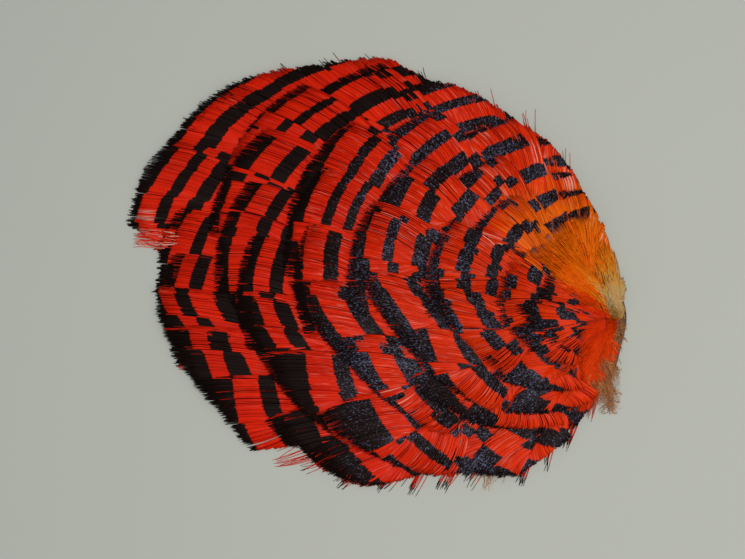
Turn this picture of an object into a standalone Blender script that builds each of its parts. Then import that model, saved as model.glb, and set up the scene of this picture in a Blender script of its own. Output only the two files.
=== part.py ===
"""A dyed golden pheasant tippet: barred neck feathers fanned out on a small piece of dried skin.

The piece lies flat, as it would on a table. The origin is the middle of the skin's flat underside,
+X points from the feather tips to the gathered end, +Y across the fan and +Z up. The feathers grow
from the skin in rows. The longest feathers lie lowest, and each shorter row covers the roots of the
row below it, as on the bird's neck. Plan lengths below are in millimetres and plan angles in
degrees, both measured from the gather point where all the quills meet.
"""
import math

import bmesh
import bpy
import numpy as np

MM = 0.001
OBJECT_NAME = "golden_pheasant_tippet"

# The skin patch, in millimetres.
SKIN_THICKNESS = 1.2
SKIN_HALF_LENGTH = 8.5
SKIN_HALF_WIDTH = 12.0
SKIN_EDGE_BEVEL = 0.25
SKIN_POINTS = 32

# The gather point on the skin, where the quills meet.
GATHER = np.array([6.0, 1.0])

# The roots of each row sit on an oval around the gather point: its reach along X, and its width
# as a share of that.
ROOT_REACH = {0: 9.0, 1: 13.0, 2: 11.6, 3: 10.0, 4: 8.2, 5: 6.4, 6: 4.6, 7: 0.6, 8: 2.5}
ROOT_OVAL = 0.72

# Where the vane opens out from the quill, as a share of a feather's length, by row.
VANE_START = {0: 0.30, 1: 0.36, 2: 0.36, 3: 0.34, 4: 0.28, 5: 0.22, 6: 0.18, 7: 0.10, 8: 0.12}

# Half width where the vane starts, as a share of its widest, by row: wide on the short feathers
# that cover the gathered end.
BASE_VANE = {0: 0.09, 1: 0.09, 2: 0.09, 3: 0.09, 4: 0.10, 5: 0.12, 6: 0.14, 7: 0.30, 8: 0.30}

# Feather proportions.
VANE_THICKNESS = 0.18
SHAFT_THICKNESS = 0.32
QUILL_HALF_WIDTH = 0.40
WIDEST_HALF_VANE = 11.0
TIP_ROUNDING = 0.22

# Room left between feathers that lie on each other, and between a feather and the skin.
LAYER_GAP = 0.24

# Outline of the whole fan: angle, and reach from the gather point.
FAN_EDGE = [
    (60, 5), (80, 8.5), (86, 11.5), (92, 15), (100, 20.5), (106, 30), (109, 35), (115, 41),
    (123, 52.5), (127, 56.5), (130, 64.5), (140, 74.5), (145, 81), (150, 86.5), (155, 89),
    (160, 92.5), (169, 93), (170, 86.5), (175, 86), (180, 84.5), (187, 81), (194, 74.5),
    (200, 73), (202, 63), (210, 60.5), (214, 56), (219, 46), (225, 41), (230, 37.5), (239, 34),
    (245, 27), (250, 23.5), (256, 18), (260, 13.5), (266, 10), (285, 6),
]

# Feathers of each row, lowest row first: tip angle and tip reach.
ROWS = {
    1: [
        (106, 29.5), (115, 42), (124, 53.5), (133, 68), (141, 76), (149, 86), (156, 90),
        (165, 94), (173, 87), (179, 85.5), (183.5, 83.5), (189, 79.5), (197, 74.5), (206, 62.5),
        (214, 56.5), (226, 41), (239, 34.5),
    ],
    2: [
        (111, 31.1), (122, 45.3), (133, 58.9), (143, 70.6), (152, 77.7), (160, 78.1),
        (168, 75.8), (176, 70.9), (185, 66.4), (196, 61.5), (209, 52.5), (224, 29.8),
    ],
    3: [
        (117, 29.8), (131, 44.5), (144, 55.1), (154, 64.5), (163, 63.4), (173, 60.4),
        (184, 54.7), (197, 47.2), (210, 35.1), (236, 21.5),
    ],
    4: [
        (124, 26.0), (141, 39.2), (154, 49.4), (167, 50.9), (182, 42.3), (198, 35.8),
        (221, 20.5),
    ],
    5: [(131, 21.1), (147, 31.1), (165, 36.2), (186, 29.8)],
    6: [(138, 17.4), (166, 21.9), (203, 16.5)],
    7: [(147, 14.5), (190, 15.0)],
}

# Two short feathers low at the sides of the gathered end.
SIDE_ROW = 8
SIDE = [(93, 16.5), (250, 22.0)]

# Downy under-feathers that stick out at the lower edge: tip angle, tip reach, half width.
DOWN = [(231, 40.5, 6.5), (268, 18.0, 3.2)]

# Stations along a feather, as fractions of its length, by row.
LONG_STATIONS = (0.0, 0.12, 0.26, 0.38, 0.50, 0.65, 0.82, 1.0)
SHORT_STATIONS = (0.0, 0.12, 0.30, 0.50, 0.75, 1.0)

# Surface colours, linear, and roughness.
RED = (0.73, 0.016, 0.004, 1.0)
ORANGE = (0.84, 0.127, 0.004, 1.0)
CREAM = (0.67, 0.45, 0.15, 1.0)
BROWN = (0.16, 0.022, 0.010, 1.0)
TAN = (0.42, 0.25, 0.13, 1.0)


def between(x, table):
    """Linear interpolation in a table of (position, value) pairs."""
    places = [row[0] for row in table]
    values = [row[1] for row in table]
    return np.interp(x, places, values)


def bend_of(angle):
    """Sideways curve of a shaft in degrees: the outer feathers arch away from the fan's middle."""
    return between(angle, [(105, 36), (125, 40), (150, 26), (165, 16), (178, 2), (192, -14),
                           (202, -16), (212, -6), (245, 0)])


def tip_turn(angle, row):
    """How far a tip edge is turned from square to the line from the gather point, in degrees."""
    outer = between(angle, [(105, -14), (136, -21), (150, -18), (163, -10), (170, -6), (179, 0),
                            (190, 5), (204, 12), (215, 19), (225, 15), (241, 13)])
    inner = between(angle, [(105, -6), (130, 0), (143, -5), (165, 0), (175, 10), (190, 18),
                            (203, 20), (215, 19), (225, 15), (240, 8)])
    share = min(1.0, (row - 1) / 2.5)
    return outer * (1.0 - share) + inner * share


def polar(angle, reach):
    """Plan point at an angle in degrees and a reach from the gather point."""
    turn = math.radians(angle)
    return np.array([math.cos(turn), math.sin(turn)]) * reach


def plan_feather(row, angle, reach, half=None):
    """Plan shape of one feather: a shaft that is a circular arc, and a vane of given half width."""
    bend = bend_of(angle) * min(1.0, 0.4 + reach / 70.0) if half is None else 0.0
    tip = polar(angle, reach)
    root = polar(angle - 0.5 * bend, ROOT_REACH[row]) * np.array([1.0, ROOT_OVAL])
    chord = tip - root
    heading = math.degrees(math.atan2(chord[1], chord[0]))
    skew = angle + tip_turn(angle, row) - (heading + 0.5 * bend) if half is None else 0.0
    bend = math.radians(bend) if abs(bend) > 0.01 else 0.0002
    return {
        "row": row,
        "root": root,
        "heading": math.radians(heading) - 0.5 * bend,
        "bend": bend,
        "length": float(np.linalg.norm(chord)) * 0.5 * bend / math.sin(0.5 * bend),
        "half": half or min(WIDEST_HALF_VANE, 4.6 + 0.13 * reach, 0.34 * reach),
        "skew": math.radians(max(-38.0, min(38.0, skew))),
        "inside": half is None,
    }


def on_feather(feather, s, t):
    """Plan point at arc length s along the shaft and t to its left, from the gather point."""
    curvature = feather["bend"] / feather["length"]
    turn = curvature * s
    along = np.sin(turn) / curvature - t * np.sin(turn)
    across = (1.0 - np.cos(turn)) / curvature + t * np.cos(turn)
    cos_h = math.cos(feather["heading"])
    sin_h = math.sin(feather["heading"])
    x = feather["root"][0] + along * cos_h - across * sin_h
    y = feather["root"][1] + along * sin_h + across * cos_h
    return np.stack([x, y], axis=-1)


def half_vane(feather, share):
    """Half width of the vane at a share of the length: a bare quill that opens out to the tip."""
    start = VANE_START[feather["row"]]
    base = max(QUILL_HALF_WIDTH, BASE_VANE[feather["row"]] * feather["half"])
    opened = np.clip((share - start) / (1.0 - start), 0.0, 1.0) ** 0.66
    vane = base + (feather["half"] - base) * opened
    quill = QUILL_HALF_WIDTH + (base - QUILL_HALF_WIDTH) * share / start
    return np.where(share < start, quill, vane)


def fan_reach(points):
    """Reach of the fan's outline in the direction of each plan point."""
    angle = np.degrees(np.arctan2(points[..., 1], points[..., 0])) % 360.0
    return between(angle, FAN_EDGE)


def column_end(feather, v):
    """Length of the vane along column v, where -1 is the right margin and +1 the left margin."""
    half = feather["half"]
    end = feather["length"] - TIP_ROUNDING * half * abs(v) ** 2.2
    end -= math.tan(feather["skew"]) * half * v
    if not feather["inside"]:
        return end
    s = np.linspace(0.0, end, 80)
    points = on_feather(feather, s, v * half_vane(feather, s / feather["length"]))
    beyond = np.linalg.norm(points, axis=-1) > fan_reach(points)
    beyond[s < 0.35 * feather["length"]] = False
    return float(s[np.argmax(beyond)]) if beyond.any() else end


def vane_grid(feather):
    """Plan positions of the vane's grid, stations along it by columns across it."""
    long_feather = feather["length"] > 38.0
    stations = LONG_STATIONS if long_feather else SHORT_STATIONS
    columns = np.linspace(-1.0, 1.0, 7 if long_feather else 5)
    rows = []
    for v in columns:
        s = np.array(stations) * column_end(feather, v)
        rows.append(on_feather(feather, s, v * half_vane(feather, s / feather["length"])))
    return np.stack(rows, axis=1), np.array(stations), columns


def shaft_weight(stations, columns):
    """Share of the shaft's thickness at each grid point: all of it on the quill, none at the tip."""
    middle = (np.abs(columns) < 1e-6).astype(float)
    taper = np.clip(1.15 - stations, 0.0, 1.0)
    quill = (stations < 0.13).astype(float)
    return np.maximum(np.outer(taper, middle), np.outer(quill, np.ones(len(columns))) * 0.9)


def facet_samples(count_u, count_v, steps):
    """Corners and weights of points spread over a grid's cells, for both ways to split each cell.

    A point at (a, b) in a cell lies in one triangle of each split. Its weights are the triangle's
    barycentric coordinates.
    """
    corners = []
    weights = []
    ticks = np.linspace(0.0, 1.0, steps + 1)
    for i in range(count_u):
        for j in range(count_v):
            c00 = i * (count_v + 1) + j
            c01 = c00 + 1
            c10 = c00 + count_v + 1
            c11 = c10 + 1
            for a in ticks:
                for b in ticks:
                    if a >= b:
                        corners.append((c00, c10, c11))
                        weights.append((1.0 - a, a - b, b))
                    else:
                        corners.append((c00, c01, c11))
                        weights.append((1.0 - b, b - a, a))
                    if a + b <= 1.0:
                        corners.append((c00, c10, c01))
                        weights.append((1.0 - a - b, a, b))
                    else:
                        corners.append((c11, c10, c01))
                        weights.append((a + b - 1.0, 1.0 - b, 1.0 - a))
    return np.array(corners), np.array(weights)


class Pile:
    """Height of what already lies on the table, on a fine plan raster around the gather point."""

    STEP = 0.4
    LOW = np.array([-104.0, -52.0])
    SIZE = (300, 300)

    def __init__(self):
        self.top = np.zeros(self.SIZE)
        self.near = self.top.copy()

    def cells(self, points):
        """Raster cell of each plan point."""
        cell = np.rint((points - self.LOW) / self.STEP).astype(int)
        return np.clip(cell[..., 0], 1, self.SIZE[0] - 2), np.clip(cell[..., 1], 1, self.SIZE[1] - 2)

    def spread(self):
        """Highest neighbour of each cell, so that edges keep their room sideways too."""
        high = self.top.copy()
        for dx in (-1, 0, 1):
            for dy in (-1, 0, 1):
                high = np.maximum(high, np.roll(self.top, (dx, dy), axis=(0, 1)))
        self.near = high

    def add_disc(self, outline, height):
        """Lay a flat patch whose outline is given as a function of the angle about a centre."""
        xs = self.LOW[0] + self.STEP * np.arange(self.SIZE[0])
        ys = self.LOW[1] + self.STEP * np.arange(self.SIZE[1])
        grid = np.stack(np.meshgrid(xs, ys, indexing="ij"), axis=-1) + GATHER
        inside = np.linalg.norm(grid, axis=-1) < outline(np.arctan2(grid[..., 1], grid[..., 0])) + 0.4
        self.top[inside] = height
        self.spread()

    def lay(self, plan, room):
        """Settle a grid on the pile: heights of its top surface, with its room kept underneath.

        The grid sags under its own weight, most at the quill's end, and evens itself out. Every
        point of every facet is lifted until it has its room above what lies below it.
        """
        count_u = plan.shape[0] - 1
        count_v = plan.shape[1] - 1
        corners, weights = facet_samples(count_u, count_v, 10)
        flat = plan.reshape(-1, 2)
        places = (flat[corners] * weights[..., None]).sum(axis=1)
        needed = self.near[self.cells(places)] + (room.reshape(-1)[corners] * weights).sum(axis=1)
        squares = (weights ** 2).sum(axis=1)

        def lifted(heights):
            missing = np.maximum(needed - (heights[corners] * weights).sum(axis=1), 0.0)
            rise = np.zeros_like(heights)
            np.maximum.at(rise, corners, missing[:, None] * weights / squares[:, None])
            return heights + rise

        sag = np.full(len(flat), 0.15)
        sag[:count_v + 1] = 0.50
        heights = lifted(np.zeros(len(flat)))
        for _ in range(120):
            field = np.pad(heights.reshape(plan.shape[:2]), 1, mode="edge")
            around = field[:-2, 1:-1] + field[2:, 1:-1] + field[1:-1, :-2] + field[1:-1, 2:]
            heights = lifted(heights + 0.10 * (around.reshape(-1) - 4.0 * heights) - sag)
        steps = 28 if count_u > 6 else 18
        corners, weights = facet_samples(count_u, count_v, steps)
        places = (flat[corners] * weights[..., None]).sum(axis=1)
        tops = (heights[corners] * weights).sum(axis=1)
        np.maximum.at(self.top, self.cells(places), tops)
        self.spread()
        return heights.reshape(plan.shape[:2])


def material(name, colour, roughness):
    """Plain surface of one part."""
    made = bpy.data.materials.new(name)
    made.use_nodes = True
    shader = made.node_tree.nodes["Principled BSDF"]
    shader.inputs["Base Color"].default_value = colour
    shader.inputs["Roughness"].default_value = roughness
    shader.inputs["Metallic"].default_value = 0.0
    made.diffuse_color = colour
    return made


def add_object(name, bm, collection, parent, colour, roughness):
    """Turn a bmesh into a named object under the part's empty."""
    mesh = bpy.data.meshes.new(name)
    bm.to_mesh(mesh)
    bm.free()
    obj = bpy.data.objects.new(name, mesh)
    obj.parent = parent
    obj.data.materials.append(material(name, colour, roughness))
    collection.objects.link(obj)
    return obj


def skin_radius(angle):
    """Uneven oval outline of the skin patch, about its middle."""
    oval = (np.abs(np.cos(angle) / SKIN_HALF_LENGTH) ** 2.6
            + np.abs(np.sin(angle) / SKIN_HALF_WIDTH) ** 2.6) ** (-1.0 / 2.6)
    return oval * (1.0 + 0.035 * np.sin(3.0 * angle + 0.5) + 0.025 * np.sin(5.0 * angle + 1.2))


def build_skin(collection, parent):
    """The dried skin: a thin uneven patch with a flat underside and a softened edge."""
    bm = bmesh.new()
    bmesh.ops.create_circle(bm, cap_ends=True, segments=SKIN_POINTS, radius=1.0)
    for vertex in bm.verts:
        angle = math.atan2(vertex.co.y, vertex.co.x)
        radius = float(skin_radius(angle))
        vertex.co = (math.cos(angle) * radius * MM, math.sin(angle) * radius * MM, 0.0)
    skin = add_object("skin", bm, collection, parent, TAN, 0.75)
    shell = skin.modifiers.new("thickness", "SOLIDIFY")
    shell.thickness = SKIN_THICKNESS * MM
    shell.offset = 1.0
    edge = skin.modifiers.new("soft edge", "BEVEL")
    edge.width = SKIN_EDGE_BEVEL * MM
    edge.segments = 2
    edge.limit_method = "ANGLE"
    edge.angle_limit = math.radians(50.0)
    return skin


def build_feather(name, feather, pile, collection, parent, colour):
    """One feather: an open grid shaped to the vane and laid on the pile, then given thickness."""
    plan, stations, columns = vane_grid(feather)
    weight = shaft_weight(stations, columns)
    thickness = VANE_THICKNESS + (SHAFT_THICKNESS - VANE_THICKNESS) * weight
    heights = pile.lay(plan, thickness * 1.12 + LAYER_GAP)
    count_u = len(stations) - 1
    count_v = len(columns) - 1
    root = np.array([*plan[0, count_v // 2], heights[0, count_v // 2]])
    bm = bmesh.new()
    bmesh.ops.create_grid(bm, x_segments=count_u, y_segments=count_v, size=0.5)
    places = {}
    for vertex in bm.verts:
        i = round((vertex.co.x + 0.5) * count_u)
        j = round((vertex.co.y + 0.5) * count_v)
        local = np.array([*plan[i, j], heights[i, j]]) - root
        vertex.co = local * MM
        places[vertex.index] = (i, j)
    bm.normal_update()
    obj = add_object(name, bm, collection, parent, colour, 0.5)
    obj.location = (np.array([*(root[:2] + GATHER), root[2]]) * MM).tolist()
    group = obj.vertex_groups.new(name="shaft")
    for index, (i, j) in places.items():
        group.add([index], float(weight[i, j]), "REPLACE")
    shell = obj.modifiers.new("thickness", "SOLIDIFY")
    shell.thickness = SHAFT_THICKNESS * MM
    shell.offset = -1.0
    shell.vertex_group = "shaft"
    shell.thickness_vertex_group = VANE_THICKNESS / SHAFT_THICKNESS
    return obj


def feather_colour(row, angle):
    """Red over most of the fan, orange on the short feathers of the upper side."""
    if row == SIDE_ROW:
        return CREAM if angle < 150 else RED
    if (angle < 150 and row >= 5) or (angle < 130 and row >= 3):
        return ORANGE
    return RED


def clear_scene():
    """Start from an empty scene."""
    for obj in list(bpy.data.objects):
        bpy.data.objects.remove(obj, do_unlink=True)


def main():
    """Skin first, then the feathers row by row, each laid on those before it."""
    clear_scene()
    collection = bpy.data.collections.new(OBJECT_NAME)
    bpy.context.scene.collection.children.link(collection)
    base = bpy.data.objects.new(OBJECT_NAME, None)
    collection.objects.link(base)
    build_skin(collection, base)
    pile = Pile()
    pile.add_disc(skin_radius, SKIN_THICKNESS)
    for number, (angle, reach, half) in enumerate(DOWN, start=1):
        feather = plan_feather(0, angle, reach, half)
        build_feather(f"down_feather_{number}", feather, pile, collection, base, BROWN)
    for number, (angle, reach) in enumerate(SIDE, start=1):
        feather = plan_feather(SIDE_ROW, angle, reach)
        colour = feather_colour(SIDE_ROW, angle)
        build_feather(f"side_feather_{number}", feather, pile, collection, base, colour)
    for row, tips in ROWS.items():
        for number, (angle, reach) in enumerate(tips, start=1):
            feather = plan_feather(row, angle, reach)
            name = f"row{row}_feather_{number:02d}"
            build_feather(name, feather, pile, collection, base, feather_colour(row, angle))
    print("highest point, mm:", round(float(pile.top.max()), 2))


main()
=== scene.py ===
# %% [markdown]
# # A golden pheasant tippet, barb by barb
# The object is a bunch of dyed neck feathers that still grow from a small piece of dried skin. It
# lies flat on a table, fanned out. The CAD part gives every feather as a thin plate in its right
# place. This lesson grows the real thing on those plates: a shaft and a few hundred barbs a feather,
# down, and dried skin. Lengths are in millimetres until a mesh is made, because feathers are easier
# to think about that way.

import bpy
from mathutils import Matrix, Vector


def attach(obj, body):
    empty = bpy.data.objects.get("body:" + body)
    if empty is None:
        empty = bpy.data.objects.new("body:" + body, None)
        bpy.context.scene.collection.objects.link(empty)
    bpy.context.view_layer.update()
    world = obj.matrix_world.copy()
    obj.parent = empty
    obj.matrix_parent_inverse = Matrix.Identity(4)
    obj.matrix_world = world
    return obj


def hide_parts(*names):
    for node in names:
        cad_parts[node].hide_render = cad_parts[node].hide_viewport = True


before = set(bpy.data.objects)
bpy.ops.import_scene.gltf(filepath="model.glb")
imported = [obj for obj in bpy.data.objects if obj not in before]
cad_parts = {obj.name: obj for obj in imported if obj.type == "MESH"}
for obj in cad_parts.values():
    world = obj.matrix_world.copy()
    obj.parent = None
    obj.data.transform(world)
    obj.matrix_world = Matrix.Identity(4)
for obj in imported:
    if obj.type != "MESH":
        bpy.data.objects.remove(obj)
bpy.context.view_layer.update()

import math

import bpy
import numpy as np

MM = 0.001


def add_object(name, data):
    """A new object in the scene, at the origin."""
    made = bpy.data.objects.new(name, data)
    bpy.context.scene.collection.objects.link(made)
    return made


# %% [markdown]
# ## Where the feathers lie
# Each feather is planned around the gather point, where all the quills meet. A tip angle and a tip
# reach are enough: the shaft is then a circular arc from an oval of roots to the tip, and the vane
# opens out from a bare quill to a square-cut tip. These are the same numbers as in the CAD part, so
# barbs grow exactly where its plates are.

# %% The plan of the fan
# Tables by row: 0 is down, 1 to 7 are the rows from the lowest up, and 8 is the side feathers.
# FAN_EDGE is the outline. It and the tips of each row are angles in degrees and reaches in mm.
GATHER = np.array([6.0, 1.0])
ROOT_REACH = {0: 9.0, 1: 13.0, 2: 11.6, 3: 10.0, 4: 8.2, 5: 6.4, 6: 4.6, 7: 0.6, 8: 2.5}
ROOT_OVAL = 0.72
VANE_START = {0: 0.30, 1: 0.36, 2: 0.36, 3: 0.34, 4: 0.28, 5: 0.22, 6: 0.18, 7: 0.10, 8: 0.12}
BASE_VANE = {0: 0.09, 1: 0.09, 2: 0.09, 3: 0.09, 4: 0.10, 5: 0.12, 6: 0.14, 7: 0.30, 8: 0.30}
QUILL_HALF_WIDTH = 0.40
WIDEST_HALF_VANE = 11.0
TIP_ROUNDING = 0.22
VANE_OPENS = 0.66
MOST_SKEW = 38.0
FAN_EDGE = np.array([
    (60, 5), (80, 8.5), (86, 11.5), (92, 15), (100, 20.5), (106, 30), (109, 35), (115, 41),
    (123, 52.5), (127, 56.5), (130, 64.5), (140, 74.5), (145, 81), (150, 86.5), (155, 89),
    (160, 92.5), (169, 93), (170, 86.5), (175, 86), (180, 84.5), (187, 81), (194, 74.5),
    (200, 73), (202, 63), (210, 60.5), (214, 56), (219, 46), (225, 41), (230, 37.5), (239, 34),
    (245, 27), (250, 23.5), (256, 18), (260, 13.5), (266, 10), (285, 6),
])
ROWS = {
    1: [(106, 29.5), (115, 42), (124, 53.5), (133, 68), (141, 76), (149, 86), (156, 90),
        (165, 94), (173, 87), (179, 85.5), (183.5, 83.5), (189, 79.5), (197, 74.5), (206, 62.5),
        (214, 56.5), (226, 41), (239, 34.5)],
    2: [(111, 31.1), (122, 45.3), (133, 58.9), (143, 70.6), (152, 77.7), (160, 78.1),
        (168, 75.8), (176, 70.9), (185, 66.4), (196, 61.5), (209, 52.5), (224, 29.8)],
    3: [(117, 29.8), (131, 44.5), (144, 55.1), (154, 64.5), (163, 63.4), (173, 60.4),
        (184, 54.7), (197, 47.2), (210, 35.1), (236, 21.5)],
    4: [(124, 26.0), (141, 39.2), (154, 49.4), (167, 50.9), (182, 42.3), (198, 35.8),
        (221, 20.5)],
    5: [(131, 21.1), (147, 31.1), (165, 36.2), (186, 29.8)],
    6: [(138, 17.4), (166, 21.9), (203, 16.5)],
    7: [(147, 14.5), (190, 15.0)],
}
SIDE_ROW = 8
SIDE = [(93, 16.5), (250, 22.0)]
DOWN = [(231, 40.5, 6.5), (268, 18.0, 3.2)]
print(sum(len(tips) for tips in ROWS.values()) + len(SIDE), "vaned feathers and", len(DOWN), "of down")


# %% The shape of one feather in plan
def bend_of(angle):
    """Sideways curve of a shaft in degrees, read from a table by tip angle."""
    return np.interp(angle, [105, 125, 150, 165, 178, 192, 202, 212, 245],
                     [36, 40, 26, 16, 2, -14, -16, -6, 0])


def tip_turn(angle, row):
    """Degrees by which a tip edge is turned from square to its radius: outer rows by one table,
    inner rows by another, and a blend between them."""
    outer = np.interp(angle, [105, 136, 150, 163, 170, 179, 190, 204, 215, 225, 241],
                      [-14, -21, -18, -10, -6, 0, 5, 12, 19, 15, 13])
    inner = np.interp(angle, [105, 130, 143, 165, 175, 190, 203, 215, 225, 240],
                      [-6, 0, -5, 0, 10, 18, 20, 19, 15, 8])
    share = min(1.0, (row - 1) / 2.5)
    return outer * (1.0 - share) + inner * share


def angle_of(points):
    """Direction of plan points from the gather point, 0 to 360 degrees."""
    return np.degrees(np.arctan2(points[..., 1], points[..., 0])) % 360.0


def polar(angle, reach):
    """Plan point at an angle in degrees and a reach from the gather point."""
    turn = np.radians(angle)
    return np.stack([np.cos(turn), np.sin(turn)], axis=-1) * np.asarray(reach)[..., None]


def plan_feather(row, angle, reach, half=None):
    """Root, heading, bend, length, half width and skew of one feather.

    The shaft is an arc of constant curvature from the root to the tip: its length is the chord
    times half the bend over the sine of half the bend.
    """
    bend = float(bend_of(angle)) * min(1.0, 0.4 + reach / 70.0) if half is None else 0.0
    root = polar(angle - 0.5 * bend, ROOT_REACH[row]) * np.array([1.0, ROOT_OVAL])
    chord = polar(angle, reach) - root
    heading = math.degrees(math.atan2(chord[1], chord[0]))
    skew = float(angle + tip_turn(angle, row) - (heading + 0.5 * bend)) if half is None else 0.0
    bend = math.radians(bend) if abs(bend) > 0.01 else 0.0002
    return {
        "row": row,
        "root": root,
        "heading": math.radians(heading) - 0.5 * bend,
        "bend": bend,
        "length": float(np.linalg.norm(chord)) * 0.5 * bend / math.sin(0.5 * bend),
        "half": half or min(WIDEST_HALF_VANE, 4.6 + 0.13 * reach, 0.34 * reach),
        "skew": math.radians(max(-MOST_SKEW, min(MOST_SKEW, skew))),
    }


def on_feather(feather, s, t):
    """Plan point at arc length s along the shaft and t to its left.

    With curvature k the shaft has turned by k s, so the point is (sin(ks)/k - t sin(ks),
    (1 - cos(ks))/k + t cos(ks)), turned to the heading and moved to the root.
    """
    curvature = feather["bend"] / feather["length"]
    turn = curvature * s
    along = np.sin(turn) / curvature - t * np.sin(turn)
    across = (1.0 - np.cos(turn)) / curvature + t * np.cos(turn)
    cos_h = math.cos(feather["heading"])
    sin_h = math.sin(feather["heading"])
    x = feather["root"][0] + along * cos_h - across * sin_h
    y = feather["root"][1] + along * sin_h + across * cos_h
    return np.stack([x, y], axis=-1)


def half_vane(feather, share):
    """Half width at a share of the length: a quill that widens a little, then a power of the share
    of the vane's own length."""
    start = VANE_START[feather["row"]]
    base = max(QUILL_HALF_WIDTH, BASE_VANE[feather["row"]] * feather["half"])
    opened = np.clip((share - start) / (1.0 - start), 0.0, 1.0) ** VANE_OPENS
    quill = QUILL_HALF_WIDTH + (base - QUILL_HALF_WIDTH) * share / start
    return np.where(share < start, quill, base + (feather["half"] - base) * opened)


def fan_reach(points):
    """Reach of the fan's outline in the direction of each plan point."""
    return np.interp(angle_of(points), FAN_EDGE[:, 0], FAN_EDGE[:, 1])


FRINGE_START = [(60, -1.0), (180, -0.5), (248, -0.5), (256, -2.0), (285, -2.0)]


def fringe_step(points):
    """How far, in mm, the loose barb ends start past the CAD outline, by direction."""
    return np.interp(angle_of(points), *np.transpose(FRINGE_START))


longest = plan_feather(1, *ROWS[1][7])
print("longest feather, mm:", round(longest["length"], 1), "and", round(2 * longest["half"], 1), "across")


# %% [markdown]
# ## Laying barbs on the plates
# A barb has to lie on the feathers below it. The CAD plates already do, so a barb's height is read
# from its own plate. A physics simulation of thousands of hairs could find it too, but it would be
# slow and would come out a little different each time. Barycentric interpolation in the plate's
# upper triangles is exact and quick, and the mean of a few readings rounds the facets off.

# %% Height of a vane at any plan point
def upper_triangles(node):
    """Corners of the triangles of a CAD node that face up, in mm from the gather point."""
    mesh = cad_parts[node].data
    places = np.empty(len(mesh.vertices) * 3, np.float32)
    mesh.vertices.foreach_get("co", places)
    mesh.calc_loop_triangles()
    corners = np.empty(len(mesh.loop_triangles) * 3, np.int32)
    mesh.loop_triangles.foreach_get("vertices", corners)
    triangles = places.reshape(-1, 3)[corners.reshape(-1, 3)].astype(float) / MM
    normal = np.cross(triangles[:, 1] - triangles[:, 0], triangles[:, 2] - triangles[:, 0])
    upper = triangles[normal[:, 2] > 0.2 * np.linalg.norm(normal, axis=1)]
    upper[..., :2] -= GATHER
    return upper


def cross2(a, b):
    """Cross product of plan vectors, a number."""
    return a[..., 0] * b[..., 1] - a[..., 1] * b[..., 0]


def barycentric(upper, points):
    """Weights of each plan point in each triangle: two edge products over the area, and the rest."""
    first = upper[:, 0, :2]
    edge_b, edge_c = upper[:, 1, :2] - first, upper[:, 2, :2] - first
    area = cross2(edge_b, edge_c)
    reach = points[..., None, :] - first
    b = cross2(reach, edge_c) / area
    c = cross2(edge_b, reach) / area
    return np.stack([1.0 - b - c, b, c], axis=-1)


def height_on(upper, points, blur=1.1):
    """Mean of nine barycentric readings: at each plan point and on a circle round it.

    Each reading comes from the triangle whose smallest barycentric weight is largest, and outside
    the plate its weights are held between 0 and 1.
    """
    turns = np.radians(np.arange(8) * 45.0)
    around = np.concatenate([np.zeros((1, 2)), blur * np.stack([np.cos(turns), np.sin(turns)], 1)])
    total = np.zeros(points.shape[:-1])
    for step in around:
        weights = barycentric(upper, points + step)
        nearest = weights.min(axis=-1).argmax(axis=-1)
        chosen = np.take_along_axis(weights, nearest[..., None, None], axis=-2)[..., 0, :]
        chosen = np.clip(chosen, 0.0, 1.0)
        chosen /= chosen.sum(axis=-1, keepdims=True)
        total += (chosen * upper[nearest, :, 2]).sum(axis=-1)
    return total / len(around)


GRID_STEP = 0.5
SMOOTHED_OVER = 0.6
GRID_X = np.arange(-98.0, 12.0, GRID_STEP)
GRID_Y = np.arange(-46.0, 58.0, GRID_STEP)


def pile_top_grid():
    """Height of the highest CAD face at each point of a grid, 0 where there is none: a triangle
    counts where all three barycentric weights are positive."""
    top = np.zeros((len(GRID_X), len(GRID_Y)))
    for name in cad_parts:
        upper = upper_triangles(name)
        low = upper[..., :2].min(axis=(0, 1))
        high = upper[..., :2].max(axis=(0, 1))
        i = np.flatnonzero((GRID_X > low[0]) & (GRID_X < high[0]))
        j = np.flatnonzero((GRID_Y > low[1]) & (GRID_Y < high[1]))
        points = np.stack(np.meshgrid(GRID_X[i], GRID_Y[j], indexing="ij"), axis=-1)
        weights = barycentric(upper, points)
        b, c = weights[..., 1], weights[..., 2]
        z = (weights * upper[:, :, 2]).sum(axis=-1)
        z = np.where((b >= 0) & (c >= 0) & (b + c <= 1), z, 0.0).max(axis=-1)
        top[np.ix_(i, j)] = np.maximum(top[np.ix_(i, j)], z)
    return top


PILE_TOP = pile_top_grid()


def pile_top(points):
    """Top of the pile at plan points: the mean of the grid there and at four places round it."""
    total = 0.0
    for dx, dy in ((0, 0), (1, 0), (-1, 0), (0, 1), (0, -1)):
        x, y = points[..., 0] + SMOOTHED_OVER * dx, points[..., 1] + SMOOTHED_OVER * dy
        i = np.clip(np.rint((x - GRID_X[0]) / GRID_STEP).astype(int), 0, len(GRID_X) - 1)
        j = np.clip(np.rint((y - GRID_Y[0]) / GRID_STEP).astype(int), 0, len(GRID_Y) - 1)
        total = total + PILE_TOP[i, j] / 5.0
    return total


print("highest point of the pile, mm:", round(float(PILE_TOP.max()), 2))
check = upper_triangles("row1_feather_08")
print(len(check), "upper triangles; tip height in mm:",
      round(float(height_on(check, polar(165.0, 88.0))), 2))


# %% [markdown]
# ## From a line to a barb
# A barb is a thin strand that tapers to its tip. Hair curves would draw it, but a part needs real
# faces. So a small profile is carried along each path: three corners, with the ridge up, are
# enough for something a quarter of a millimetre wide, and six make a round quill. All strands of a
# feather are computed at once as arrays. Each strand also gets its own strip on a UV map, and six
# numbers that the finish reads later: how far a point is from the tip edge, how far along its
# strand it is, a tone for the strand, how the dye took there, how black a bar may be there, and how
# much the bar is pinched off by the rim of a lock or the margin of the vane.

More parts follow.
